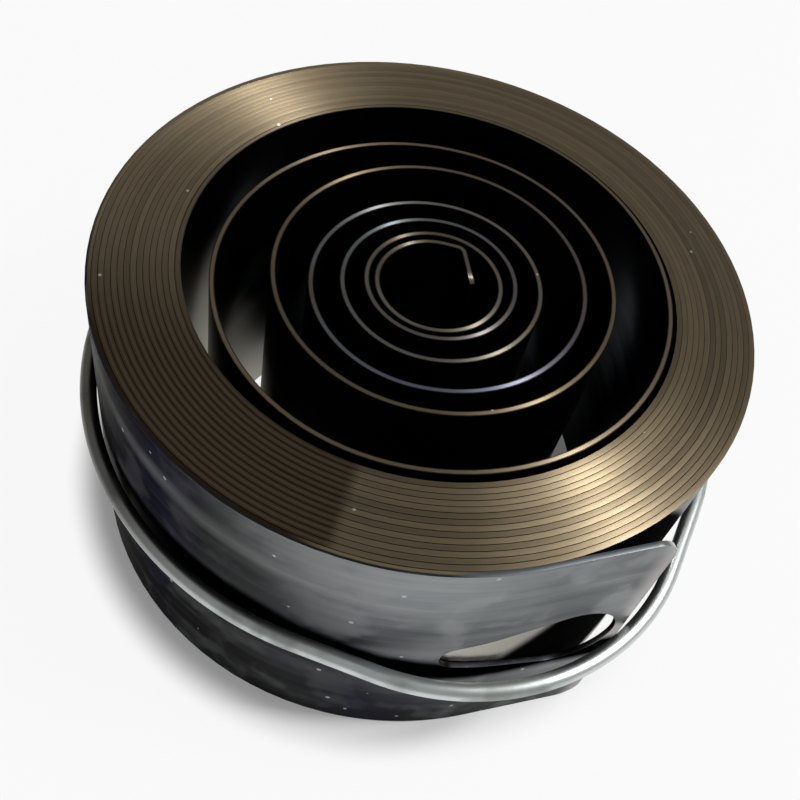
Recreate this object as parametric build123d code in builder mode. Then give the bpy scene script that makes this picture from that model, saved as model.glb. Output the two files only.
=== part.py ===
"""Flat spiral power spring, wound closed and held by a wire retaining ring.

One strip of spring steel is rolled into a coil that stands on its edges. The outer turns lie
tightly packed and the inner ones open towards the eye, where a short bent tab hooks into the
arbor. The outer end runs off the coil as a straight leg with an oblong anchor slot. A closed
ring of wire goes round the coil and keeps it from opening before it is fitted.

Millimetres, +Z up. The origin is on the coil's axis, at the lower edges of the strip.
"""
from build123d import *

import math
import os

# ---- Strip -------------------------------------------------------------------------------
strip_width = 60.0
strip_thickness = 0.9

# ---- Tight pack of outer turns -----------------------------------------------------------
coil_radius = 58.0      # outer face of the outermost turn
pack_turns = 14
tight_gap = 0.05        # between neighbouring turns on the +Y side
open_gap = 0.15         # between neighbouring turns on the -Y side

# ---- Loose inner turns -------------------------------------------------------------------
eye_radius = 10.2       # centre line of the strip round the eye
eye_offset = 0.9        # the inner turns sit this far to +X of the outer ones
offset_half_turns = 10  # how many half turns, from the eye, are offset
# Each loose half turn, as its share of the way from the eye out to the pack
opening_shares = [0.0, 0.03, 0.055, 0.105, 0.175, 0.24, 0.33, 0.475, 0.54, 0.63, 0.795, 0.965]

# ---- Inner tab, hooked into the arbor ----------------------------------------------------
tab_lead = 2.2          # straight run between the eye's round and the tab's bend
tab_bend_radius = 1.5   # centre line
tab_bend_angle = 70.0
tab_length = 7.4

# ---- Outer end: the turn leaves the pack in a straight leg, with a pear-shaped slot --------
leaving_angle = 26.5    # how far past the -Y side the turn goes on before it runs straight
leg_length = 22.8
leg_corner_radius = 4.5
slot_length = 31.4
slot_width = 18.0       # at the round end, near the strip's end
slot_throat = 8.0       # at the narrow end
slot_land = 1.8         # metal left between the slot and the strip's end

# ---- Retaining ring ----------------------------------------------------------------------
wire_diameter = 3.0
ring_clearance = 0.3    # between the wire and the strip
ring_height = 31.0      # wire's centre line above the lower edges
nose_radius = 44.0      # centre line of the ring's bulge round the leg
nose_lead = 14.0        # the bulge's middle lies this many degrees ahead of the leg's tip

# ---- Curves are flat facets this many degrees wide, because the turns are so many ---------
facet_angle = 7.5

# ---- Derived sizes -----------------------------------------------------------------------
half_thickness = strip_thickness / 2
tight_step = (strip_thickness + tight_gap) / 2
open_step = (strip_thickness + open_gap) / 2
outer_radius = coil_radius - half_thickness
pack_bore = outer_radius - pack_turns * (tight_step + open_step)
leg_angle = 270 + leaving_angle
ring_radius = coil_radius + ring_clearance + wire_diameter / 2


def polar(radius, angle, centre=(0, 0)):
    """Point at a radius and an angle in degrees round a centre."""
    turn = math.radians(angle)
    return Vector(centre[0] + radius * math.cos(turn), centre[1] + radius * math.sin(turn))


def arc_points(centre, radius, start, sweep_angle):
    """Points along an arc, both ends included, one facet apart."""
    count = math.ceil(sweep_angle / facet_angle)
    return [polar(radius, start + sweep_angle * k / count, centre) for k in range(count + 1)]


def half_turn_radii():
    """Centre line radius of every half turn, from the eye outwards."""
    radii = [eye_radius + share * (pack_bore - eye_radius) for share in opening_shares]
    for turn in range(pack_turns):
        first = pack_bore + turn * (tight_step + open_step)
        radii += [first, first + tight_step]
    return radii + [outer_radius]


def half_turn_centres(radii):
    """Centre of every half turn: each meets the next in a common tangent, the last is at 0, 0."""
    centre_y = 0.0
    centres = [(0.0, centre_y)]
    for index in range(len(radii) - 1, 0, -1):
        step = radii[index] - radii[index - 1]
        meets_in_front = index % 2 == 1
        centre_y += -step if meets_in_front else step
        centre_x = eye_offset if index - 1 < offset_half_turns else 0.0
        centres.insert(0, (centre_x, centre_y))
    return centres


def coil_side(offset):
    """Points of one face of the coil, offset outwards from the strip's centre line."""
    points = []
    radii = half_turn_radii()
    for index, (radius, centre) in enumerate(zip(radii, half_turn_centres(radii))):
        start = 90 if index % 2 == 0 else 270
        half_turn = arc_points(centre, radius + offset, start, 180)
        meets_last = bool(points) and (half_turn[0] - points[-1]).length < half_thickness / 10
        points += half_turn[1:] if meets_last else half_turn
    return points


def tab_side(eye_start, offset):
    """Draw one face of the inner tab, from the eye's round to the tip, and return its tip."""
    bend_start = eye_start + Vector(tab_lead, 0)
    bend_middle = bend_start - Vector(0, tab_bend_radius + offset)
    bend_end = 90 - tab_bend_angle
    Line(eye_start, bend_start)
    CenterArc((bend_middle.X, bend_middle.Y), tab_bend_radius + offset, bend_end, tab_bend_angle)
    tab_start = polar(tab_bend_radius + offset, bend_end, (bend_middle.X, bend_middle.Y))
    tab_tip = tab_start + polar(tab_length, -tab_bend_angle)
    Line(tab_start, tab_tip)
    return tab_tip


def leg_point(along, offset):
    """Point on the straight leg: along it from its start, and offset outwards from its middle."""
    return polar(outer_radius + offset, leg_angle) + polar(along, leg_angle + 90)


def draw_outer_end(offset):
    """Draw one face of the outer end, from the coil to the leg's tip."""
    CenterArc((0, 0), outer_radius + offset, 270, leaving_angle)
    Line(leg_point(0, offset), leg_point(leg_length, offset))


def make_spring_strip():
    """Outer end with its slot first, and then the coil that carries it."""
    leg_plane = Plane(
        leg_point(0, 0) + Vector(0, 0, strip_width / 2),
        x_dir=polar(1, leg_angle + 90),
        z_dir=polar(1, leg_angle),
    )
    slot_end = leg_length - slot_land
    outer_side = coil_side(half_thickness)
    inner_side = coil_side(-half_thickness)

    with BuildPart() as spring_strip:
        with BuildSketch():
            with BuildLine():
                draw_outer_end(half_thickness)
                draw_outer_end(-half_thickness)
                Line(outer_side[-1], inner_side[-1])
                Line(leg_point(leg_length, half_thickness), leg_point(leg_length, -half_thickness))
            make_face()
        extrude(amount=strip_width)
        with BuildSketch(leg_plane) as end_outline:
            with Locations((leg_length - coil_radius, 0)):
                Rectangle(2 * coil_radius, strip_width)
            fillet(end_outline.vertices().sort_by(Axis.X)[-2:], leg_corner_radius)
        extrude(amount=coil_radius, both=True, mode=Mode.INTERSECT)
        with BuildSketch(leg_plane):
            with Locations((slot_end - slot_width / 2, 0)):
                Circle(slot_width / 2)
            with Locations((slot_end - slot_length + slot_throat / 2, 0)):
                Circle(slot_throat / 2)
            make_hull()
        extrude(amount=slot_length, both=True, mode=Mode.SUBTRACT)

        with BuildSketch():
            with BuildLine():
                Polyline(outer_side)
                Polyline(inner_side)
                Line(tab_side(outer_side[0], half_thickness), tab_side(inner_side[0], -half_thickness))
                Line(outer_side[-1], inner_side[-1])
            make_face()
        extrude(amount=strip_width)
    spring_strip.part.label = "spring_strip"
    return spring_strip.part


def ring_points():
    """Centre line of the ring: round the coil, with a bulge that passes just outside the leg."""
    tip = leg_point(leg_length, half_thickness)
    nose_angle = math.degrees(math.atan2(tip.Y, tip.X)) - nose_lead
    tip_along = tip.length * math.cos(math.radians(nose_lead))
    tip_across = tip.length * math.sin(math.radians(nose_lead))
    clear_radius = nose_radius - wire_diameter / 2 - ring_clearance
    nose_shift = tip_along - math.sqrt(clear_radius**2 - tip_across**2)
    nose_centre = polar(nose_shift, nose_angle)
    half_nose = math.degrees(math.acos((ring_radius - nose_radius) / nose_shift))
    round_part = arc_points((0, 0), ring_radius, nose_angle + half_nose, 360 - 2 * half_nose)
    nose_part = arc_points(
        (nose_centre.X, nose_centre.Y), nose_radius, nose_angle - half_nose, 2 * half_nose
    )
    return [point + Vector(0, 0, ring_height) for point in round_part + nose_part]


def make_retaining_ring():
    """Round wire swept once round the coil."""
    points = ring_points()
    start = (points[0] + points[-1]) / 2
    with BuildPart() as retaining_ring:
        with BuildLine() as path:
            Polyline([start] + points + [start])
        with BuildSketch(Plane(start, z_dir=points[0] - points[-1])):
            Circle(wire_diameter / 2)
        sweep(path=path.line, transition=Transition.RIGHT)
    retaining_ring.part.label = "retaining_ring"
    return retaining_ring.part


os.makedirs("parts", exist_ok=True)
for piece in (make_spring_strip(), make_retaining_ring()):
    export_step(piece, f"parts/{piece.label}.step")
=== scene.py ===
"""Looks of a flat spiral power spring and its retaining ring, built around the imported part.

The strip is coiled the way the real one is: a rounded section is run from the bent tab in the eye,
through every half turn, to the outer end, which is punched flat and then bent on to the coil.
"""

from __future__ import annotations

import logging
import math
from dataclasses import dataclass, field
from enum import Enum

import bmesh
import bpy
from bmesh.types import BMEdge, BMesh, BMVert
from bpy.types import Material, NodeSocket, Object
from mathutils import Matrix, Vector

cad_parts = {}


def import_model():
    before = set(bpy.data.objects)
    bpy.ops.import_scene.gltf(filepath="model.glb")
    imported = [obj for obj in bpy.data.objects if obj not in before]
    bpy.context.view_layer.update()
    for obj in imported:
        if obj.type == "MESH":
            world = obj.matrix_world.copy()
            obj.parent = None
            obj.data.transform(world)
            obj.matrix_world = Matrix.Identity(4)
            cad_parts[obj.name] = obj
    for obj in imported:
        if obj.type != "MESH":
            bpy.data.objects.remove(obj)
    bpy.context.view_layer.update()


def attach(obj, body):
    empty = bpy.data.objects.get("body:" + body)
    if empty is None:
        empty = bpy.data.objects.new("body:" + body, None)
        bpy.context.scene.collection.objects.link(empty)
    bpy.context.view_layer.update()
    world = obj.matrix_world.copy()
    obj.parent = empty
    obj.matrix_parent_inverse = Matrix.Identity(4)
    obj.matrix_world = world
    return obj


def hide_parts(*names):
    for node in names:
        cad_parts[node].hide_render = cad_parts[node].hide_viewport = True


LOG = logging.getLogger("spiral_power_spring")
MM = 0.001
TOUCH = 0.001 * MM
LAYERS = ("run", "side")
# the property that holds the mode of each of these types of node
MODES = {"Math": "operation", "VectorMath": "operation", "MapRange": "interpolation_type", "Mix": "data_type"}

# the kinds of node that most patterns use, each with its mode
STEP, TIMES, GAIN, MINUS = "MapRange SMOOTHSTEP", "Math MULTIPLY", "Math MULTIPLY_ADD", "Math SUBTRACT"
ABSOLUTE, MIX, DOT = "Math ABSOLUTE", "Mix RGBA", "VectorMath DOT_PRODUCT"

Pair = tuple[float, float]
Triple = tuple[float, float, float]


# -------------------- colours and nodes


def linear(hex_colour: str) -> tuple[float, float, float, float]:
    """Turn an sRGB hex colour into linear RGBA.

    Args:
        hex_colour: six hex digits after a hash.

    Returns:
        Linear red, green, blue and an alpha of 1.
    """
    channels = [int(hex_colour[i : i + 2], 16) / 255 for i in (1, 3, 5)]
    return (*[c / 12.92 if c <= 0.04045 else ((c + 0.055) / 1.055) ** 2.4 for c in channels], 1.0)


@dataclass
class NodeTree:
    """A new material and the nodes that are added to it."""

    name: str
    material: Material = field(init=False)

    def __post_init__(self) -> None:
        """Start the material with its default nodes."""
        self.material = bpy.data.materials.new(self.name)
        self.material.use_nodes = True

    def add(self, kind: str, *values: object, out: str = "", **settings: object) -> NodeSocket:
        """Add a node with its settings and links.

        Args:
            kind: the node's type after ShaderNode, then a space and its mode where MODES lists the type.
            values: a number, a vector, a hex colour or a socket for each of its first inputs, in order.
            out: name of the wanted output, or nothing for the first.
            settings: properties in lower case, and inputs by name, with capitals and _ for spaces.

        Returns:
            The output's socket.
        """
        kind, _, mode = kind.partition(" ")
        tree = self.material.node_tree
        node = tree.nodes.new("ShaderNode" + kind)
        if mode:
            setattr(node, MODES[kind], mode)
        feeds = list(zip([socket for socket in node.inputs if socket.enabled], values))
        for name, value in settings.items():
            if name.islower():
                setattr(node, name, value)
            else:
                feeds.append((node.inputs[name.replace("_", " ")], value))
        for socket, value in feeds:
            if isinstance(value, NodeSocket):
                tree.links.new(value, socket)
            else:
                socket.default_value = linear(value) if isinstance(value, str) else value
        return node.outputs[out] if out else next(socket for socket in node.outputs if socket.enabled)

    def show(self, shader: NodeSocket) -> Material:
        """Link the material's surface to a shader.

        Args:
            shader: the shader's socket.

        Returns:
            The finished material.
        """
        tree = self.material.node_tree
        tree.links.new(shader, tree.nodes["Material Output"].inputs["Surface"])
        return self.material


# -------------------- meshes


def append(bm: BMesh, part: BMesh) -> None:
    """Add one mesh to another and free it.

    Args:
        bm: mesh that grows.
        part: mesh that is added.
    """
    scratch = bpy.data.meshes.new("scratch")
    part.to_mesh(scratch)
    part.free()
    bm.from_mesh(scratch)
    bpy.data.meshes.remove(scratch)


def place_mesh(name: str, bm: BMesh, materials: list[Material]) -> Object:
    """Make a piece of a finished mesh, at the origin.

    Args:
        name: the piece's name.
        bm: its mesh, which is freed.
        materials: its finishes, in order.

    Returns:
        The piece's object.
    """
    mesh = bpy.data.meshes.new(name)
    bm.to_mesh(mesh)
    bm.free()
    for material in materials:
        mesh.materials.append(material)
    piece = bpy.data.objects.new(name, mesh)
    bpy.context.scene.collection.objects.link(piece)
    return piece


def count_open_edges(bm: BMesh) -> int:
    """Return how many edges of a mesh don't join exactly two faces."""
    return sum(1 for edge in bm.edges if len(edge.link_faces) != 2)


def cut(bm: BMesh, place: Triple, normal: Triple, clear_inner: bool = False) -> None:
    """Cut a mesh by a plane.

    Args:
        bm: mesh to cut.
        place: a point of the plane.
        normal: the plane's normal.
        clear_inner: whether what lies behind the plane goes.
    """
    parts = bm.verts[:] + bm.edges[:] + bm.faces[:]
    bmesh.ops.bisect_plane(bm, geom=parts, plane_co=place, plane_no=normal, clear_inner=clear_inner)


def round_points(centre: Pair, radius: float, start: float, stop: float, step: float = 6.0) -> list[Pair]:
    """Return points along an arc.

    Args:
        centre: the arc's centre, along the strip and up.
        radius: the arc's radius.
        start: angle of the first point, in degrees.
        stop: angle of the last point.
        step: widest angle between two points.

    Returns:
        The points, in order.
    """
    count = max(2, math.ceil((stop - start) / step))
    angles = [math.radians(start + (stop - start) * index / count) for index in range(count + 1)]
    return [(centre[0] + radius * math.cos(angle), centre[1] + radius * math.sin(angle)) for angle in angles]


def closed_loop(bm: BMesh, points: list[Pair]) -> list[BMEdge]:
    """Draw a closed loop of edges in the XZ plane.

    Args:
        bm: mesh to draw in.
        points: x and z of its corners, in order.

    Returns:
        Its edges; each joins a corner to the one before it.
    """
    corners = [bm.verts.new((x, 0, z)) for x, z in points]
    return [bm.edges.new((corners[index - 1], corners[index])) for index in range(len(corners))]


# -------------------- strip


class Finish(Enum):
    """Material slots of the strip's mesh, in order."""

    FACE = 0
    EDGE = 1
    OUTER_EDGE = 2
    PUNCHED = 3


@dataclass
class SpringStrip:
    """The whole strip: tab, loose turns, pack and slotted outer end.

    Lengths are in metres and angles in degrees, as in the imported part. The strip is thicker by its
    scale and oil, which close the gaps a little, while the pitch from turn to turn stays.
    """

    width: float = 60.0 * MM
    thickness: float = 0.94 * MM
    edge_radius: float = 0.05 * MM
    edge_segments: int = 3
    coil_radius: float = 58.0 * MM
    pack_turns: int = 14
    tight_gap: float = 0.01 * MM
    open_gap: float = 0.11 * MM
    eye_radius: float = 10.2 * MM
    eye_offset: float = 0.9 * MM
    offset_half_turns: int = 10
    opening_shares: tuple[float, ...] = (
        0.0, 0.03, 0.055, 0.105, 0.175, 0.24, 0.33, 0.475, 0.54, 0.63, 0.795, 0.965,
    )
    tab_lead: float = 2.2 * MM
    tab_bend_radius: float = 1.5 * MM
    tab_bend_angle: float = 70.0
    tab_length: float = 7.4 * MM
    leaving_angle: float = 26.5
    leg_length: float = 22.8 * MM
    leg_corner_radius: float = 4.5 * MM
    slot_length: float = 31.4 * MM
    slot_width: float = 18.0 * MM
    slot_throat: float = 8.0 * MM
    slot_land: float = 1.8 * MM
    lean: float = 0.5 * MM
    step_angle: float = 3.6
    station_length: float = 1.2 * MM
    sharp_angle: float = 60.0
    run: float = 0.0
    section_places: list[Vector] = field(default_factory=list)
    section_sides: list[float] = field(default_factory=list)

    @property
    def outer_radius(self) -> float:
        """Centre line radius of the outermost turn."""
        return self.coil_radius - self.thickness / 2

    def half_turns(self) -> list[Triple]:
        """Work out every half turn from the eye outwards.

        Returns:
            Radius of the centre line, and x and y of the centre.
        """
        tight = (self.thickness + self.tight_gap) / 2
        loose = (self.thickness + self.open_gap) / 2
        bore = self.outer_radius - self.pack_turns * (tight + loose)
        radii = [self.eye_radius + share * (bore - self.eye_radius) for share in self.opening_shares]
        for turn in range(self.pack_turns):
            first = bore + turn * (tight + loose)
            radii += [first, first + tight]
        radii.append(self.outer_radius)
        centre_y = 0.0
        turns = [(radii[-1], 0.0, 0.0)]
        for index in range(len(radii) - 1, 0, -1):
            step = radii[index] - radii[index - 1]
            centre_y += -step if index % 2 == 1 else step
            centre_x = self.eye_offset if index - 1 < self.offset_half_turns else 0.0
            turns.insert(0, (radii[index - 1], centre_x, centre_y))
        return turns

    def section(self, middle: Vector) -> list[Vector]:
        """Draw the strip's rounded section across the path, where the path runs towards -X.

        Args:
            middle: foot of the section's centre line.

        Returns:
            The section's corners in order round it.
        """
        half = self.thickness / 2
        corners = [(-half, 0.0), (half, 0.0), (half, self.width), (-half, self.width)]
        bm = bmesh.new()
        face = bm.faces.new([bm.verts.new((middle.x, middle.y + across, z)) for across, z in corners])
        bmesh.ops.bevel(
            bm, geom=list(face.verts), offset=self.edge_radius, segments=self.edge_segments,
            affect="VERTICES", profile=0.5, material=-1,
        )
        self.add_supports(bm)
        bmesh.ops.dissolve_faces(bm, faces=bm.faces[:])
        bm.faces.ensure_lookup_table()
        places = [vert.co.copy() for vert in bm.faces[0].verts]
        bm.free()
        return places

    def add_supports(self, bm: BMesh) -> None:
        """Cut the lines that keep the wide faces flat beside their rounded edges."""
        for height in (2 * self.edge_radius, self.width - 2 * self.edge_radius):
            cut(bm, (0, 0, height), (0, 0, 1))

    def extend(self, bm: BMesh, steps: int, length: float, **motion: object) -> None:
        """Run the last section on along a straight or an arc, in a mesh of its own, and add it.

        Args:
            bm: mesh to add the new stretch to.
            steps: how many stations to add.
            length: length of the centre line.
            motion: dvec for a straight, or cent and angle for an arc.
        """
        stretch = bmesh.new()
        run_layer, side_layer = (stretch.verts.layers.float.new(name) for name in LAYERS)
        verts = [stretch.verts.new(place) for place in self.section_places]
        edges = [stretch.edges.new((verts[i - 1], verts[i])) for i in range(len(verts))]
        settings = {"cent": (0, 0, 0), "dvec": (0, 0, 0), "angle": 0.0, "axis": (0, 0, 1), **motion}
        made = bmesh.ops.spin(
            stretch, geom=verts + edges, steps=steps, use_merge=False, use_normal_flip=False,
            use_duplicate=False, **settings,
        )["geom_last"]
        for index, vert in enumerate(stretch.verts):
            vert[run_layer] = self.run + length * (index // len(verts)) / steps
            vert[side_layer] = self.section_sides[index % len(verts)]
        stretch.verts.index_update()
        last = sorted(item.index for item in made if isinstance(item, BMVert))
        stretch.verts.ensure_lookup_table()
        self.section_places = [stretch.verts[index].co.copy() for index in last]
        self.run += length
        append(bm, stretch)

    def straight(self, bm: BMesh, length: float, angle: float, steps: int = 2) -> None:
        """Run on along a straight.

        Args:
            bm: mesh to extend.
            length: how far.
            angle: direction round Z.
            steps: how many stations to add.
        """
        heading = Vector((math.cos(math.radians(angle)), math.sin(math.radians(angle)), 0))
        self.extend(bm, steps, length, dvec=heading * (length / steps))

    def arc(self, bm: BMesh, radius: float, centre: Pair, sweep: float) -> None:
        """Run on along an arc, anticlockwise.

        Args:
            bm: mesh to extend.
            radius: centre line radius.
            centre: x and y of its centre.
            sweep: how far round, in degrees.
        """
        steps = max(4, math.ceil(sweep / self.step_angle))
        self.extend(bm, steps, radius * math.radians(sweep), cent=(*centre, 0), angle=math.radians(sweep))

    def coil(self, bm: BMesh) -> None:
        """Coil the strip from the tab's tip to where the outer end begins.

        Args:
            bm: an empty mesh.
        """
        turns = self.half_turns()
        radius, centre_x, centre_y = turns[0]
        bend = Vector((centre_x + self.tab_lead, centre_y + radius - self.tab_bend_radius, 0))
        unbend = Matrix.Rotation(-math.radians(self.tab_bend_angle), 3, "Z")
        tip = Vector((bend.x + self.tab_length, centre_y + radius, 0))
        flat = self.section(tip)
        self.section_sides = [2 * (place.y - tip.y) / self.thickness for place in flat]
        self.section_places = [unbend @ (place - bend) + bend for place in flat]
        cap = bmesh.new()
        for name in LAYERS:
            cap.verts.layers.float.new(name)
        cap.faces.new([cap.verts.new(place) for place in self.section_places])
        append(bm, cap)
        self.straight(bm, self.tab_length, 180 - self.tab_bend_angle)
        self.arc(bm, self.tab_bend_radius, (bend.x, bend.y), self.tab_bend_angle)
        self.straight(bm, self.tab_lead, 180)
        for index, (radius, centre_x, centre_y) in enumerate(turns):
            if index == self.offset_half_turns:
                self.straight(bm, self.eye_offset, 180, steps=1)
            self.arc(bm, radius, (centre_x, centre_y), 180)

    def blank(self, bm: BMesh) -> None:
        """Punch the outer end as a flat plate: x along the strip, y outwards, z up.

        Args:
            bm: an empty mesh.
        """
        arc_run = math.radians(self.leaving_angle) * self.outer_radius
        end = arc_run + self.leg_length
        corner = self.leg_corner_radius
        outline = [(0.0, self.width), (0.0, 0.0)]
        outline += round_points((end - corner, corner), corner, -90, 0)
        outline += round_points((end - corner, self.width - corner), corner, 0, 90)
        plate_edges = closed_loop(bm, outline)
        wide, narrow = self.slot_width / 2, self.slot_throat / 2
        right = end - self.slot_land - wide
        left = end - self.slot_land - self.slot_length + narrow
        tangent = 180 - math.degrees(math.acos((wide - narrow) / (right - left)))
        slot = round_points((right, self.width / 2), wide, -tangent, tangent)
        slot += round_points((left, self.width / 2), narrow, tangent, 360 - tangent)
        closed_loop(bm, slot)
        bmesh.ops.triangle_fill(bm, use_beauty=True, edges=bm.edges[:])
        # a spare stretch before the start, which is cut off once the edges are rounded
        spare_length = 4 * self.thickness
        spare = bmesh.ops.extrude_edge_only(bm, edges=[plate_edges[1]])["geom"]
        spare_verts = [item for item in spare if isinstance(item, BMVert)]
        bmesh.ops.translate(bm, verts=spare_verts, vec=(-spare_length, 0, 0))
        bmesh.ops.recalc_face_normals(bm, faces=bm.faces[:])
        if bm.faces[0].normal.y < 0:
            bmesh.ops.reverse_faces(bm, faces=bm.faces[:])
        self.thicken(bm)
        cut(bm, (0, 0, 0), (1, 0, 0), clear_inner=True)
        stations = math.ceil(arc_run / self.station_length)
        for index in range(1, stations + 1):
            cut(bm, (arc_run * index / stations, 0, 0), (1, 0, 0))
        self.add_supports(bm)
        run_layer, side_layer = (bm.verts.layers.float[name] for name in LAYERS)
        for vert in bm.verts:
            vert[run_layer] = self.run + vert.co.x
            vert[side_layer] = 2 * vert.co.y / self.thickness
            vert.co = self.bent(vert.co, arc_run, end)

    def thicken(self, bm: BMesh) -> None:
        """Give the punched plate its thickness and rounded edges.

        Args:
            bm: the flat plate, whose faces point outwards.
        """
        bmesh.ops.translate(bm, verts=bm.verts[:], vec=(0, self.thickness / 2, 0))
        pushed = bmesh.ops.extrude_face_region(bm, geom=bm.faces[:], use_keep_orig=True)["geom"]
        moved = [item for item in pushed if isinstance(item, BMVert)]
        bmesh.ops.translate(bm, verts=moved, vec=(0, -self.thickness, 0))
        bmesh.ops.recalc_face_normals(bm, faces=bm.faces[:])
        for face in bm.faces:
            wide = abs(face.normal.y) > abs(face.normal.x) + abs(face.normal.z)
            heights = [vert.co.z for vert in face.verts]
            slit = min(heights) > self.width - TOUCH or max(heights) < TOUCH
            face.material_index = (Finish.FACE if wide or slit else Finish.PUNCHED).value
        sharp = [edge for edge in bm.edges if edge.calc_face_angle(0) > math.radians(self.sharp_angle)]
        bmesh.ops.bevel(
            bm, geom=sharp, offset=self.edge_radius, segments=self.edge_segments,
            affect="EDGES", profile=0.5, material=-1,
        )

    def bent(self, point: Vector, arc_run: float, end: float) -> Vector:
        """Bend a point of the flat outer end on to the coil.

        Args:
            point: x along the strip, y outwards, z up.
            arc_run: length of the eased arc.
            end: the plate's whole length.

        Returns:
            The point in the part's frame.
        """
        along = min(point.x, arc_run)
        angle = math.radians(270) + along / self.outer_radius
        ramp = max(0.0, point.x / end) ** 2
        across = point.y - self.lean * ramp * (2 * point.z / self.width - 1)
        outward = Vector((math.cos(angle), math.sin(angle), 0))
        onward = Vector((-math.sin(angle), math.cos(angle), 0))
        return outward * (self.outer_radius + across) + onward * (point.x - along) + Vector((0, 0, point.z))

    def paint(self, bm: BMesh, outer_start: float) -> None:
        """Give every face its finish: wide faces, edges, the outermost edges and the punched ends.

        Args:
            bm: the finished strip.
            outer_start: run along the strip past which the outermost turn lies.
        """
        run_layer = bm.verts.layers.float["run"]
        edge_height = 1.5 * self.edge_radius
        for face in bm.faces:
            run = sum(vert[run_layer] for vert in face.verts) / len(face.verts)
            heights = [vert.co.z for vert in face.verts]
            on_edge = max(heights) < edge_height or min(heights) > self.width - edge_height
            if on_edge and face.material_index == Finish.FACE.value:
                face.material_index = (Finish.OUTER_EDGE if run > outer_start else Finish.EDGE).value
            face.smooth = True

    def build(self, materials: list[Material]) -> Object:
        """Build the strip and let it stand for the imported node.

        Args:
            materials: one for each Finish, in order.

        Returns:
            The strip's object.
        """
        bm, end = bmesh.new(), bmesh.new()
        for name in LAYERS:
            bm.verts.layers.float.new(name)
            end.verts.layers.float.new(name)
        self.coil(bm)
        outer_start = self.run - math.pi * self.outer_radius
        self.blank(end)
        append(bm, end)
        bmesh.ops.remove_doubles(bm, verts=bm.verts[:], dist=2 * TOUCH)
        bmesh.ops.recalc_face_normals(bm, faces=bm.faces[:])
        self.paint(bm, outer_start)
        open_edges = count_open_edges(bm)
        strip = place_mesh("spring_coil", bm, materials)
        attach(strip, "root")
        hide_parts("spring_strip")
        faces = len(strip.data.polygons)
        LOG.info("spring_coil: %d faces, %d open edges, run %.3f m", faces, open_edges, self.run)
        return strip


# -------------------- ring


@dataclass
class RetainingRing:
    """Closed ring of round wire, with a bulge that passes just outside the leg's tip."""

    wire_diameter: float = 3.0 * MM
    clearance: float = 0.3 * MM
    height: float = 31.0 * MM
    nose_radius: float = 44.0 * MM
    nose_lead: float = 14.0
    wire_sides: int = 24
    step_angle: float = 2.0

    def build(self, strip: SpringStrip, material: Material) -> Object:
        """Run a round section once round the coil.

        Args:
            strip: the strip that the ring holds.
            material: the wire's finish.

        Returns:
            The ring's object.
        """
        radius = strip.coil_radius + self.clearance + self.wire_diameter / 2
        leg_angle = math.radians(270 + strip.leaving_angle)
        outward = Vector((math.cos(leg_angle), math.sin(leg_angle)))
        onward = Vector((-outward.y, outward.x))
        tip = outward * strip.coil_radius + onward * strip.leg_length
        nose_angle = math.atan2(tip.y, tip.x) - math.radians(self.nose_lead)
        lead = math.radians(self.nose_lead)
        # the nose passes outside the leg's tip with the clearance, and straights link it to the round
        clear = self.nose_radius - self.wire_diameter / 2 - self.clearance
        shift = tip.length * math.cos(lead) - math.sqrt(clear**2 - (tip.length * math.sin(lead)) ** 2)
        nose_centre = Vector((math.cos(nose_angle), math.sin(nose_angle), 0)) * shift
        half_nose = math.acos((radius - self.nose_radius) / shift)
        bm = bmesh.new()
        bmesh.ops.create_circle(
            bm, cap_ends=False, segments=self.wire_sides, radius=self.wire_diameter / 2,
            matrix=Matrix.Translation((radius, 0, self.height)) @ Matrix.Rotation(math.pi / 2, 4, "X"),
        )
        start = nose_angle + half_nose
        bmesh.ops.rotate(bm, verts=bm.verts[:], cent=(0, 0, 0), matrix=Matrix.Rotation(start, 3, "Z"))
        rows = bm.verts[:] + bm.edges[:]
        link = math.sqrt(shift**2 - (radius - self.nose_radius) ** 2)
        for centre, angle, turn in (
            (Vector((0, 0, 0)), 2 * math.pi - 2 * half_nose, start),
            (nose_centre, 2 * half_nose, nose_angle - half_nose),
        ):
            steps = math.ceil(math.degrees(angle) / self.step_angle)
            heading = turn + angle + math.pi / 2
            straight = Vector((math.cos(heading), math.sin(heading), 0)) * link
            for motion in (
                {"angle": angle, "steps": steps, "dvec": (0, 0, 0)},
                {"angle": 0.0, "steps": 1, "dvec": straight},
            ):
                rows = bmesh.ops.spin(
                    bm, geom=rows, cent=centre, axis=(0, 0, 1), use_merge=False, use_normal_flip=False,
                    use_duplicate=False, **motion,
                )["geom_last"]
        bmesh.ops.remove_doubles(bm, verts=bm.verts[:], dist=TOUCH)
        bmesh.ops.recalc_face_normals(bm, faces=bm.faces[:])
        for face in bm.faces:
            face.smooth = True
        open_edges = count_open_edges(bm)
        ring = place_mesh("wire_ring", bm, [material])
        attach(ring, "root")
        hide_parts("retaining_ring")
        LOG.info("wire_ring: %d faces, %d open edges", len(ring.data.polygons), open_edges)
        return ring


# -------------------- finishes


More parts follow.
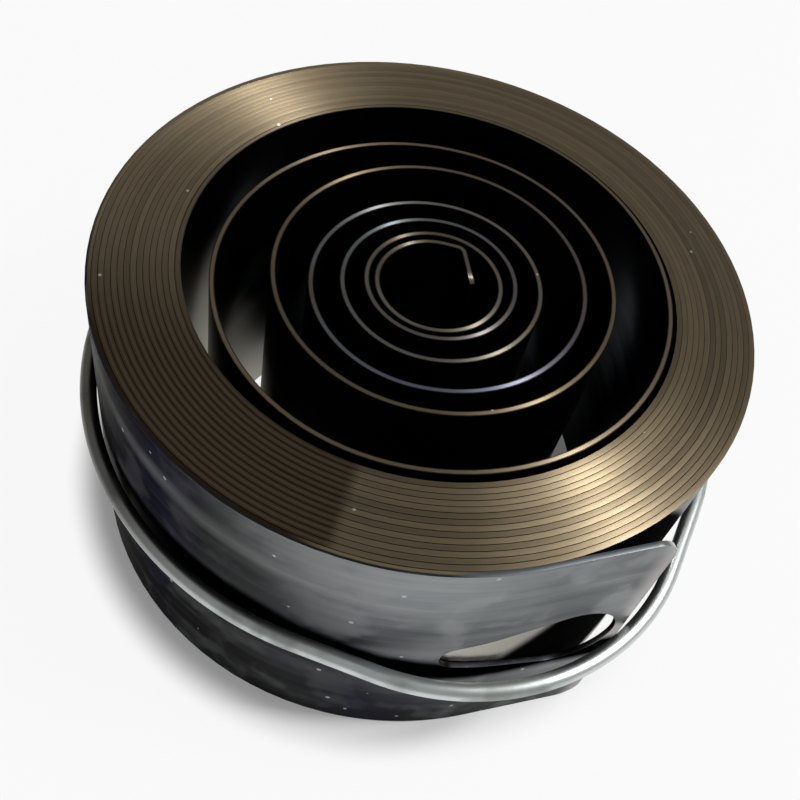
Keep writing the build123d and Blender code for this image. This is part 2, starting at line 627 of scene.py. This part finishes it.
@dataclass
class MetalFinish(NodeTree):
    """A metal's nodes, with what its patterns are read from: the place, the run and the side.

    The place is in the part's own frame, the run is along the strip in metres, and the side goes from
    -1 at the strip's inner face to 1 at its outer one.
    """

    place: NodeSocket = field(init=False)
    run: NodeSocket = field(init=False)
    side: NodeSocket = field(init=False)

    def __post_init__(self) -> None:
        """Start the material with the nodes that every pattern reads."""
        super().__post_init__()
        self.place = self.add("TexCoord", out="Object")
        self.run, self.side = (self.add("Attribute", attribute_name=name, out="Fac") for name in LAYERS)

    def stretched(self, grain: Triple) -> NodeSocket:
        """Return a place that runs along the strip, so that a pattern follows the rolling direction.

        Args:
            grain: sizes in metres of one grain along the strip, across its thickness and up its width.

        Returns:
            The vector socket, in grains.
        """
        split = self.add("SeparateXYZ", self.place).node.outputs
        square = self.add(GAIN, split["X"], split["X"], self.add(TIMES, split["Y"], split["Y"]))
        lengths = (self.run, self.add("Math SQRT", square), split["Z"])
        return self.add("CombineXYZ", *(self.add("Math DIVIDE", *pair) for pair in zip(lengths, grain)))

    def specks(self, spacing: float, size: float, share: float) -> NodeSocket:
        """Return scattered small round specks.

        Args:
            spacing: size in metres of the cells that may hold a speck.
            size: radius of a speck in metres.
            share: share of the cells that hold one.

        Returns:
            1 in a speck and 0 elsewhere.
        """
        cells = self.add("TexVoronoi", Vector=self.place, Scale=1 / spacing).node.outputs
        near = self.add("Math LESS_THAN", cells["Distance"], size / spacing)
        chance = self.add("SeparateColor", cells["Color"])
        return self.add(TIMES, near, self.add("Math LESS_THAN", chance, share))

    def finish(self, grain: NodeSocket, depth: float, strength: float, **inputs: object) -> Material:
        """Wire the shader, whose highlights are stretched across the grain, and hand over the material.

        Args:
            grain: height of the fine relief, from 0 to 1.
            depth: depth of the relief in metres.
            strength: how much of the relief shows.
            inputs: the shader's other inputs, with _ for spaces.

        Returns:
            The finished material.
        """
        nodes = self.material.node_tree.nodes
        nodes.remove(nodes["Principled BSDF"])
        along = self.add("VectorMath CROSS_PRODUCT", (0, 0, 1), self.place)
        across = self.add("VectorMath CROSS_PRODUCT", self.add("NewGeometry", out="Normal"), along)
        return self.show(self.add(
            "BsdfPrincipled", Metallic=1.0, Tangent=across,
            Normal=self.add("Bump", Height=grain, Distance=depth, Strength=strength), **inputs,
        ))


@dataclass(frozen=True)
class PaintedSideShade:
    """Painted shade, tinted brown, on the pack's left and front, which ends sharply where a reflection
    begins.
    """

    left: Triple = (-0.998, 0.07, 0)
    front: Triple = (0, -1, 0)
    front_step: Pair = (2 * MM, 34 * MM)

    def share(self, metal: MetalFinish, sharpness: float) -> NodeSocket:
        """Return how much painted shade a place gets.

        Args:
            metal: the material's nodes.
            sharpness: width of the shade's sharp end in metres.

        Returns:
            The share's socket, from 0 to 1.
        """
        left = metal.add(STEP, metal.add(DOT, metal.place, self.left), 0.0, sharpness)
        front = metal.add(STEP, metal.add(DOT, metal.place, self.front), *self.front_step)
        return metal.add(TIMES, left, front)


@dataclass(frozen=True)
class SlitEdge:
    """Narrow edge of spring steel, slit from wide stock and tempered to a straw colour.

    Its slitting lines run along the strip, so light gathers in bright bands that cross the coil. The
    lines are drawn coarser than real ones, which would be too fine to show.
    """

    name: str = "straw_tempered_slit_edge"
    anisotropy: float = 1.0
    tempers: tuple[tuple[float, str], ...] = (
        (0.0, "#a5a08c"), (0.08, "#9a9686"), (0.13, "#8990a0"), (0.19, "#7d98a4"), (0.25, "#b0a98c"),
        (0.3, "#7d9ab4"), (0.38, "#7a7690"), (0.43, "#a08c6a"), (0.6, "#928066"), (0.8, "#998a70"),
    )
    temper_run: float = 1.0
    turn_grain: Triple = (180 * MM, 6 * MM, 60 * MM)
    turn_step: Pair = (0.35, 0.7)
    dull: str = "#7b6f5a"
    pack_step: Pair = (0.9, 0.95)
    painted_shade: str = "#33241a"
    shade_end: float = 2.5 * MM
    shade_share: float = 0.8
    crest: str = "#8d8068"
    crest_step: Pair = (0.15, 0.55)
    crest_share: float = 0.36
    rim: str = "#17171a"
    rim_step: Pair = (0.52, 0.74)
    line: str = "#54473a"
    line_grain: Triple = (5 * MM, 0.12 * MM, 0.12 * MM)
    line_share: float = 0.5
    line_depth: float = 0.02 * MM
    line_strength: float = 0.35
    dust: str = "#d9d2c0"
    dust_specks: Triple = (3.5 * MM, 0.28 * MM, 0.12)
    roughness: float = 0.36
    line_roughness: float = 0.12

    def material(self) -> Material:
        """Make the material: temper colours by turn, brown painted shade with a painted highlight on the
        crest, painted shade on the rims of loose turns, slitting lines, dust.
        """
        metal = MetalFinish(self.name)
        add = metal.add
        temper = add("ValToRGB", add("Math DIVIDE", metal.run, self.temper_run))
        stops = temper.node.color_ramp.elements
        while len(stops) < len(self.tempers):
            stops.new(0.5)
        for stop, (position, colour) in zip(stops, self.tempers):
            stop.position = position
            stop.color = linear(colour)
        # each turn differs a little from the next, which draws the turns apart where they touch
        by_turn = add("TexNoise", Vector=metal.stretched(self.turn_grain), Scale=1.0, Detail=3.0)
        tone = add(MIX, add(STEP, by_turn, *self.turn_step), temper, self.dull)
        packed = add(STEP, metal.run, *self.pack_step)
        # painted shade, tinted brown, on the pack's left and front; on the crest of each edge a painted
        # highlight shows through it
        painted_shade = add(TIMES, PaintedSideShade().share(metal, self.shade_end), packed)
        off_middle = add(ABSOLUTE, metal.side)
        crest = add(MINUS, 1.0, add(STEP, off_middle, *self.crest_step))
        shaded_brown = add(MIX, add(TIMES, painted_shade, self.shade_share), tone, self.painted_shade)
        # painted highlight on the crest of each edge, where the painted shade lies
        crest_share = add(TIMES, painted_shade, add(TIMES, crest, self.crest_share))
        crested = add(MIX, crest_share, shaded_brown, self.crest)
        # painted shade: loose turns get dark rims along both sides of each edge, where the rounded edge turns
        # from the light; the pack's edges keep their colour almost to the corner
        rim = add(STEP, off_middle, *self.rim_step)
        loose_rim = add(TIMES, rim, add(MINUS, 1.0, packed))
        rimmed = add(MIX, loose_rim, crested, self.rim)
        lines = add("TexNoise", Vector=metal.stretched(self.line_grain), Scale=1.0, Detail=2.0)
        lined = add(MIX, add(TIMES, lines, self.line_share), rimmed, self.line)
        return metal.finish(
            lines, self.line_depth, self.line_strength,
            Anisotropic=self.anisotropy,
            Base_Color=add(MIX, metal.specks(*self.dust_specks), lined, self.dust),
            Roughness=add(GAIN, lines, self.line_roughness, self.roughness),
        )


@dataclass(frozen=True)
class FaceZones:
    """Where the wide face is worn or hidden, and where light and shade are painted; each is from 0 to 1, but
    the height is in metres.
    """

    height: NodeSocket
    inside: NodeSocket
    outer: NodeSocket
    under_leg: NodeSocket
    slot_lit: NodeSocket
    streaks: NodeSocket
    rubbed: NodeSocket
    worn: NodeSocket


@dataclass(frozen=True)
class BluedFace:
    """Wide face of hardened and blued spring steel: glossy, cool and dark.

    The outside is handled most: it carries cloudy smudges, scuffs along the strip, dust and a long pale
    band. Painted light makes it paler towards the leg and higher up, and painted reflections make it near
    white at the very end and on the wrap past the leg's tip. A black line along the ring and the black in
    the gap that the leg covers are painted shade, and a paler stretch seen through the slot is painted
    light. Painted reflections also lie on the inner faces of loose turns at the left and front. Runs are in
    metres from the tab's tip, and a gain is what a mask is multiplied by and then what is added to it.
    """

    name: str = "blued_spring_steel"
    anisotropy: float = 0.3
    edge_tint: str = "#8c8b8a"
    # rolled tone and the violet of the bluing, strongest at the front
    dark: str = "#454645"
    light: str = "#5a5b5c"
    rolled_grain: Triple = (60 * MM, 40 * MM, 5 * MM)
    rolled_step: Pair = (0.3, 0.72)
    rolled_depth: float = 0.05 * MM
    rolled_strength: float = 0.15
    violet: str = "#464556"
    bloom_size: float = 26 * MM
    bloom_step: Pair = (0.42, 0.68)
    violet_run: float = 5.44
    violet_reach: Pair = (15 * MM, 45 * MM)
    violet_gain: Pair = (-0.7, 0.75)
    # what the leg covers: the gap beneath it, painted black as painted shadow that reaches furthest at half
    # the strip's width, and a paler stretch in the slot as painted light
    covered_step: Pair = (5.142, 5.145)
    pool_height: float = 30 * MM
    pool_reach: float = 15 * MM
    under_leg_step: Pair = (5.08, 5.085)
    shadow_slope: float = -0.86
    slope_height: float = 35 * MM
    slope_step: Pair = (5.128, 5.134)
    rim_shade_step: Pair = (43 * MM, 45 * MM)
    slot_light: str = "#d0ccc4"
    # painted light, paler towards the leg and higher up; painted reflections on the wrap past the leg's tip
    # and at the very end
    rubbed: str = "#b4b8ba"
    leg_side: Triple = (0.77, -0.64, 0.6)
    leg_distance: float = 36 * MM
    lit_step: Pair = (10 * MM, 46 * MM)
    streak_grain: Triple = (40 * MM, 30 * MM, 2.2 * MM)
    lit_gain: Pair = (0.9, 0.25)
    painted_gleam: str = "#d9d6d4"
    wrap_gleam_step: Pair = (5.16, 5.21)
    wrap_gleam_gain: Pair = (0.9, 0.1)
    end_gleam_step: Pair = (5.499, 5.503)
    # inside, with a painted reflection on the inner faces of loose turns at the left and front
    inner: str = "#404246"
    inner_share: float = 0.5
    inner_gleam: str = "#c4c2b8"
    inner_gleam_side: Triple = (-0.93, -0.36, -0.5)
    inner_gleam_reach: Pair = (10 * MM, 34 * MM)
    inner_gleam_start: Pair = (0.55, 0.6)
    inner_gleam_stop: Pair = (1.4, 1.45)
    # smudges, scuffs and the long pale band
    smudge: str = "#b4b6b6"
    cloud_size: float = 9 * MM
    cloud_step: Pair = (0.48, 0.66)
    scuff_grain: Triple = (22 * MM, 30 * MM, 1.1 * MM)
    scuff_step: Pair = (0.58, 0.78)
    smudge_gain: Pair = (0.5, 0.03)
    band_line: Pair = (-0.096, 0.572)
    band_half_width: float = 3.5 * MM
    band_gain: Pair = (0.42, 0.03)
    # painted shade: a black line along the ring, which sinks with the ring's bulge, and black on the back of
    # the leg
    painted_shadow: str = "#090a09"
    ring_shade_height: float = 33 * MM
    ring_shade_edge: Pair = (2 * MM, 5 * MM)
    ring_shade_sinks: float = 10 * MM
    sink_step: Pair = (5.43, 5.485)
    leg_step: Pair = (5.45, 5.46)
    dust: str = "#dcdede"
    dust_specks: Triple = (3.2 * MM, 0.4 * MM, 0.2)
    dust_share: float = 0.6
    # roughness of the inside, and what the outside, wear and the painted shadow under the leg add to it
    roughness: float = 0.2
    outer_roughness: float = 0.14
    worn_roughness: float = 0.2
    covered_roughness: float = 0.6

    def zones(self, metal: MetalFinish) -> FaceZones:
        """Work out where the face is worn or hidden, and where light and shade are painted.

        Args:
            metal: the material's nodes.

        Returns:
            The zones.
        """
        add = metal.add
        facing = add(DOT, add("NewGeometry", out="Normal"), metal.place)
        outside = add("Math GREATER_THAN", facing, 0.0)
        height = add(DOT, metal.place, (0, 0, 1))
        # painted shadow in the gap under the leg, reaching furthest at half the strip's width
        off_pool = add("Math DIVIDE", add(MINUS, height, self.pool_height), self.pool_height)
        square = add(TIMES, off_pool, off_pool)
        reach = add(GAIN, square, self.pool_reach, -self.pool_reach)
        sheltered = add("Math ADD", metal.run, reach)
        seen = add(STEP, sheltered, *self.covered_step)
        outer = add(TIMES, outside, seen)
        hidden = add(TIMES, outside, add(MINUS, 1.0, seen))
        under_leg = add(TIMES, add(STEP, metal.run, *self.under_leg_step), hidden)
        # painted light: the slot shows a paler stretch of the wrap beneath, up to a slanting edge of painted
        # shadow
        slanting = add(GAIN, add(MINUS, height, self.slope_height), self.shadow_slope, metal.run)
        before_shadow = add(MINUS, 1.0, add(STEP, slanting, *self.slope_step))
        below_rim = add(MINUS, 1.0, add(STEP, height, *self.rim_shade_step))
        from_leg = add(DOT, metal.place, self.leg_side)
        towards_leg = add(MINUS, from_leg, self.leg_distance)
        place_noise = add("TexNoise", Vector=metal.place, Scale=1 / self.cloud_size, Detail=7.0)
        cloudy = add(STEP, place_noise, *self.cloud_step)
        scuff_noise = add("TexNoise", Vector=metal.stretched(self.scuff_grain), Scale=1.0, Detail=3.0)
        scuffed = add(STEP, scuff_noise, *self.scuff_step)
        return FaceZones(
            height=height,
            inside=add(MINUS, 1.0, outside),
            outer=outer,
            under_leg=under_leg,
            slot_lit=add(TIMES, below_rim, before_shadow),
            streaks=add("TexNoise", Vector=metal.stretched(self.streak_grain), Scale=1.0, Detail=5.0),
            rubbed=add(TIMES, add(STEP, towards_leg, *self.lit_step), outer),
            worn=add(TIMES, outer, add("Math MAXIMUM", cloudy, scuffed)),
        )

    def steel(self, metal: MetalFinish, rolled: NodeSocket) -> NodeSocket:
        """Return the colour of the blued steel before any wear.

        Args:
            metal: the material's nodes.
            rolled: noise along the rolling direction.

        Returns:
            The colour's socket.
        """
        add = metal.add
        tone = add(MIX, add(STEP, rolled, *self.rolled_step), self.dark, self.light)
        bloom_noise = add("TexNoise", Vector=metal.place, Scale=1 / self.bloom_size, Detail=3.0)
        bloom = add(STEP, bloom_noise, *self.bloom_step)
        off_front = add(ABSOLUTE, add(MINUS, metal.run, self.violet_run))
        strength = add(GAIN, add(STEP, off_front, *self.violet_reach), *self.violet_gain)
        return add(MIX, add(TIMES, bloom, strength), tone, self.violet)

    def paint_light_and_inside(self, metal: MetalFinish, zones: FaceZones, colour: NodeSocket) -> NodeSocket:
        """Lay painted light towards the leg and in the slot, painted reflections on the wrap past the leg, at
        the very end and inside loose turns, and tone the inside.

        Args:
            metal: the material's nodes.
            zones: where the face is worn or hidden, and where light is painted.
            colour: the colour beneath.

        Returns:
            The colour's socket.
        """
        add = metal.add
        # painted light: the face is paler towards the leg and higher up
        uneven = add(TIMES, zones.rubbed, add(GAIN, zones.streaks, *self.lit_gain))
        paler = add(MIX, uneven, colour, self.rubbed)
        # painted reflection, near white, at the very end and on the wrap past the leg's tip
        end_gleam = add(STEP, metal.run, *self.end_gleam_step)
        wrap_gleam = add(MINUS, 1.0, add(STEP, metal.run, *self.wrap_gleam_step))
        streaky_gleam = add(TIMES, wrap_gleam, add(GAIN, zones.streaks, *self.wrap_gleam_gain))
        painted_gleam = add(TIMES, add("Math MAXIMUM", end_gleam, streaky_gleam), zones.outer)
        gleamed = add(MIX, painted_gleam, paler, self.painted_gleam)
        # painted light on the wrap seen through the slot
        slot_light = add(MIX, add(TIMES, zones.under_leg, zones.slot_lit), gleamed, self.slot_light)
        inner = add(MIX, add(TIMES, zones.inside, self.inner_share), slot_light, self.inner)
        # painted reflection on the inner faces of loose turns at the left and front
        inner_gleam_place = add(DOT, metal.place, self.inner_gleam_side)
        inner_gleam_side = add(STEP, inner_gleam_place, *self.inner_gleam_reach)
        before_stop = add(MINUS, 1.0, add(STEP, metal.run, *self.inner_gleam_stop))
        inner_gleam_turns = add(TIMES, add(STEP, metal.run, *self.inner_gleam_start), before_stop)
        inner_gleam = add(TIMES, zones.inside, add(TIMES, inner_gleam_side, inner_gleam_turns))
        return add(MIX, inner_gleam, inner, self.inner_gleam)

    def smudged(self, metal: MetalFinish, zones: FaceZones, colour: NodeSocket) -> NodeSocket:
        """Lay smudges, scuffs and one long pale band, which sinks from the rim at the left to the front.

        Args:
            metal: the material's nodes.
            zones: where the face is worn.
            colour: the colour beneath.

        Returns:
            The colour's socket.
        """
        add = metal.add
        fading = add(TIMES, zones.worn, add(GAIN, zones.rubbed, *self.smudge_gain))
        band_height = add(GAIN, metal.run, *self.band_line)
        off_band = add(ABSOLUTE, add(MINUS, zones.height, band_height))
        pale_band = add(MINUS, 1.0, add(STEP, off_band, 0.0, self.band_half_width))
        streaky = add(GAIN, zones.streaks, *self.band_gain)
        banded = add(TIMES, add(TIMES, pale_band, zones.outer), streaky)
        return add(MIX, add("Math MAXIMUM", fading, banded), colour, self.smudge)

    def material(self) -> Material:
        """Make the material: blued steel, painted light and reflections, smudges, painted shade and dust."""
        metal = MetalFinish(self.name)
        add = metal.add
        zones = self.zones(metal)
        rolled = add("TexNoise", Vector=metal.stretched(self.rolled_grain), Scale=1.0, Detail=4.0)
        smudged = self.smudged(metal, zones, self.paint_light_and_inside(metal, zones, self.steel(metal, rolled)))
        # painted shade: black along the ring, on the back of the leg and in the gap under the leg
        sinking = add(STEP, metal.run, *self.sink_step)
        ring_shade_height = add(GAIN, sinking, -self.ring_shade_sinks, self.ring_shade_height)
        off_line = add(ABSOLUTE, add(MINUS, zones.height, ring_shade_height))
        at_ring = add(MINUS, 1.0, add(STEP, off_line, *self.ring_shade_edge))
        leg_back = add(TIMES, add(STEP, metal.run, *self.leg_step), zones.inside)
        gap_shadow = add(TIMES, zones.under_leg, add(MINUS, 1.0, zones.slot_lit))
        covered_shadow = add("Math MAXIMUM", gap_shadow, leg_back)
        shadow_mask = add("Math MAXIMUM", add(TIMES, at_ring, zones.outer), covered_shadow)
        shadowed = add(MIX, shadow_mask, smudged, self.painted_shadow)
        dust = add(TIMES, zones.outer, metal.specks(*self.dust_specks))
        handled = add(GAIN, zones.outer, self.outer_roughness, self.roughness)
        worn = add(GAIN, zones.worn, self.worn_roughness, handled)
        return metal.finish(
            rolled, self.rolled_depth, self.rolled_strength,
            Anisotropic=self.anisotropy,
            Base_Color=add(MIX, add(TIMES, dust, self.dust_share), shadowed, self.dust),
            Roughness=add(GAIN, covered_shadow, self.covered_roughness, worn),
            Specular_Tint=self.edge_tint,
        )


@dataclass(frozen=True)
class BluedEdge:
    """Edge of the outermost wrap and of the punched end, blued like the face and dark to the eye.

    Its crest is rubbed bright in stretches, and its inner side is tempered straw like the slit edges, with
    the same brown painted shade at the left and front. A painted highlight lies towards the very end.
    """

    name: str = "rubbed_blued_edge"
    anisotropy: float = 0.4
    dark: str = "#2b2c31"
    rubbed: str = "#85878a"
    rub_grain: Triple = (14 * MM, 0.5 * MM, 0.5 * MM)
    rub_step: Pair = (0.55, 0.8)
    rub_depth: float = 0.02 * MM
    rub_strength: float = 0.2
    inner: str = "#867860"
    inner_step: Pair = (-0.1, 0.4)
    blued_step: Pair = (5.33, 5.39)
    shaded_brown: str = "#33281e"
    shade_end: float = 8 * MM
    bright: str = "#606366"
    highlight_from: float = 5.465
    highlight_blur: float = 6 * MM
    roughness: float = 0.28
    rub_roughness: float = 0.1

    def material(self) -> Material:
        """Make the material: dark steel with bright rubbed stretches, straw inwards with brown painted shade,
        a painted highlight at the end.
        """
        metal = MetalFinish(self.name)
        add = metal.add
        rubs = add("TexNoise", Vector=metal.stretched(self.rub_grain), Scale=1.0, Detail=4.0)
        crest = add(STEP, rubs, *self.rub_step)
        blued = add(MIX, crest, self.dark, self.rubbed)
        inwards = add(MINUS, 1.0, add(STEP, metal.side, *self.inner_step))
        back = add(MINUS, 1.0, add(STEP, metal.run, *self.blued_step))
        # brown painted shade on the edge's inner side at the left and front
        painted_shade = PaintedSideShade().share(metal, self.shade_end)
        inner = add(MIX, painted_shade, self.inner, self.shaded_brown)
        straw = add(MIX, add("Math MAXIMUM", inwards, back), blued, inner)
        # painted highlight towards the very end
        painted_gleam = add(STEP, metal.run, self.highlight_from, self.highlight_from + self.highlight_blur)
        return metal.finish(
            rubs, self.rub_depth, self.rub_strength,
            Anisotropic=self.anisotropy,
            Base_Color=add(MIX, painted_gleam, straw, self.bright),
            Roughness=add(GAIN, crest, self.rub_roughness, self.roughness),
        )


@dataclass(frozen=True)
class ZincWire:
    """Galvanised steel wire: bright, drawn lengthwise, with a dull grey bloom in patches.

    The left side is painted dark and brown, as painted shade. The drawn texture is coarser than a real one,
    so that it shows.
    """

    name: str = "galvanised_wire"
    anisotropy: float = 0.5
    bright: str = "#cfd4d3"
    bloom: str = "#9ba09d"
    bloom_size: float = 9 * MM
    bloom_step: Pair = (0.42, 0.7)
    wire_shade: str = "#453f34"
    shade_side: Triple = (-0.9, 0.43, 0)
    shade_reach: Pair = (-20 * MM, 32 * MM)
    wire_shade_share: float = 0.85
    drawn_size: float = 0.5 * MM
    drawn_depth: float = 0.02 * MM
    drawn_strength: float = 0.12
    roughness: float = 0.3
    bloom_roughness: float = 0.16

    def material(self) -> Material:
        """Make the material: zinc bloom, painted shade on one side, drawn texture."""
        metal = MetalFinish(self.name)
        add = metal.add
        bloom_noise = add("TexNoise", Vector=metal.place, Scale=1 / self.bloom_size, Detail=5.0)
        bloom = add(STEP, bloom_noise, *self.bloom_step)
        fresh = add(MIX, bloom, self.bright, self.bloom)
        # painted shade on the wire's left side
        shade_place = add(DOT, metal.place, self.shade_side)
        wire_shade = add(TIMES, add(STEP, shade_place, *self.shade_reach), self.wire_shade_share)
        drawn = add("TexNoise", Vector=metal.place, Scale=1 / self.drawn_size, Detail=2.0)
        return metal.finish(
            drawn, self.drawn_depth, self.drawn_strength,
            Anisotropic=self.anisotropy,
            Base_Color=add(MIX, wire_shade, fresh, self.wire_shade),
            Roughness=add(GAIN, bloom, self.bloom_roughness, self.roughness),
        )


# -------------------- studio


@dataclass(frozen=True)
class Softbox:
    """Soft square lamp that faces the part, with its place in metres and its power in watts."""

    name: str
    place: Triple
    size: float
    power: float
    aim: Triple = (0, 0, 0.03)

    def hang(self) -> None:
        """Hang the lamp."""
        data = bpy.data.lights.new(self.name, "AREA")
        data.shape = "RECTANGLE"
        data.size = data.size_y = self.size
        data.energy = self.power
        lamp = bpy.data.objects.new(self.name, data)
        lamp.location = self.place
        lamp.rotation_euler = (Vector(self.aim) - Vector(self.place)).to_track_quat("-Z", "Y").to_euler()
        bpy.context.scene.collection.objects.link(lamp)


@dataclass(frozen=True)
class Studio:
    """Floor, soft lights and the camera, which looks from above and in front, rolled to the left.

    The floor shows white to the camera and to glossy faces, and falls dim beneath the part and in a ring
    round its foot, so that the openings and the contact stay dark.
    """

    floor_size: float = 3.0
    floor_colour: str = "#f2f2f2"
    floor_roughness: float = 0.9
    white: str = "#fafafa"
    white_shares: Pair = (0.1, 0.98)
    dim_point: Triple = (18 * MM, -4 * MM, 0.0)
    dim_reach: Pair = (28 * MM, 56 * MM)
    contact_radius: float = 57 * MM
    contact_reach: Pair = (2 * MM, 10 * MM)
    world_strength: float = 0.4
    softboxes: tuple[Softbox, ...] = (
        Softbox("key_softbox", (0.52, 0.076, 0.73), 0.16, 4.0),
        Softbox("wide_softbox", (0.62, 0.16, 0.9), 0.7, 3.8),
    )
    lens: float = 46.47
    sensor: float = 36.0
    camera_place: Triple = (-0.00212, -0.12588, 0.18878)
    camera_axes: tuple[Triple, ...] = (
        (0.97002, 0.18771, 0.15434), (-0.24279, 0.77565, 0.58259), (-0.01035, -0.6026, 0.79798),
    )

    def floor(self) -> None:
        """Lay a plain pale floor."""
        pale = NodeTree("pale_floor")
        add = pale.add
        matt = pale.material.node_tree.nodes["Principled BSDF"]
        matt.inputs["Base Color"].default_value = linear(self.floor_colour)
        matt.inputs["Roughness"].default_value = self.floor_roughness
        rays = add("LightPath").node.outputs
        place = add("TexCoord", out="Object")
        away = add("VectorMath DISTANCE", place, self.dim_point)
        radius = add("VectorMath LENGTH", place)
        off_contact = add(ABSOLUTE, add(MINUS, radius, self.contact_radius))
        share = add("Math MAXIMUM", rays["Is Camera Ray"], rays["Is Glossy Ray"])
        for distance, reach in ((away, self.dim_reach), (off_contact, self.contact_reach)):
            share = add(TIMES, share, add(STEP, distance, *reach, *self.white_shares))
        white = add("Emission", Color=self.white, Strength=1.0)
        pale.show(add("MixShader", share, matt.outputs["BSDF"], white))
        bm = bmesh.new()
        bmesh.ops.create_grid(bm, x_segments=1, y_segments=1, size=self.floor_size)
        floor = place_mesh("floor", bm, [pale.material])

    def world(self) -> None:
        """Surround the part with a pale even light."""
        world = bpy.data.worlds.new("studio")
        world.use_nodes = True
        background = world.node_tree.nodes["Background"]
        background.inputs["Color"].default_value = linear(self.white)
        background.inputs["Strength"].default_value = self.world_strength
        bpy.context.scene.world = world

    def camera(self) -> None:
        """Place the camera."""
        data = bpy.data.cameras.new("camera")
        data.lens = self.lens
        data.sensor_width = self.sensor
        data.clip_start = 0.01
        camera = bpy.data.objects.new("camera", data)
        turn = Matrix(self.camera_axes).transposed().to_4x4()
        camera.matrix_world = Matrix.Translation(self.camera_place) @ turn
        bpy.context.scene.collection.objects.link(camera)
        bpy.context.scene.camera = camera

    def build(self) -> None:
        """Lay the floor, hang the lamps and place the camera."""
        self.floor()
        self.world()
        for softbox in self.softboxes:
            softbox.hang()
        self.camera()


def main() -> None:
    """Build the looks in order."""
    logging.basicConfig(level=logging.INFO, format="%(name)s: %(message)s")
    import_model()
    strip = SpringStrip()
    # the punched edge is dark, with a painted highlight at the very end
    punched = BluedEdge(
        "punched_edge", rubbed="#4c4c4e", inner="#3a3a3c", bright="#c4c4c0", highlight_from=5.497
    )
    strip.build([finish.material() for finish in (BluedFace(), SlitEdge(), BluedEdge(), punched)])
    RetainingRing().build(strip, ZincWire().material())
    Studio().build()
    bpy.context.scene.view_settings.view_transform = "Standard"


if __name__ == "__main__":
    main()
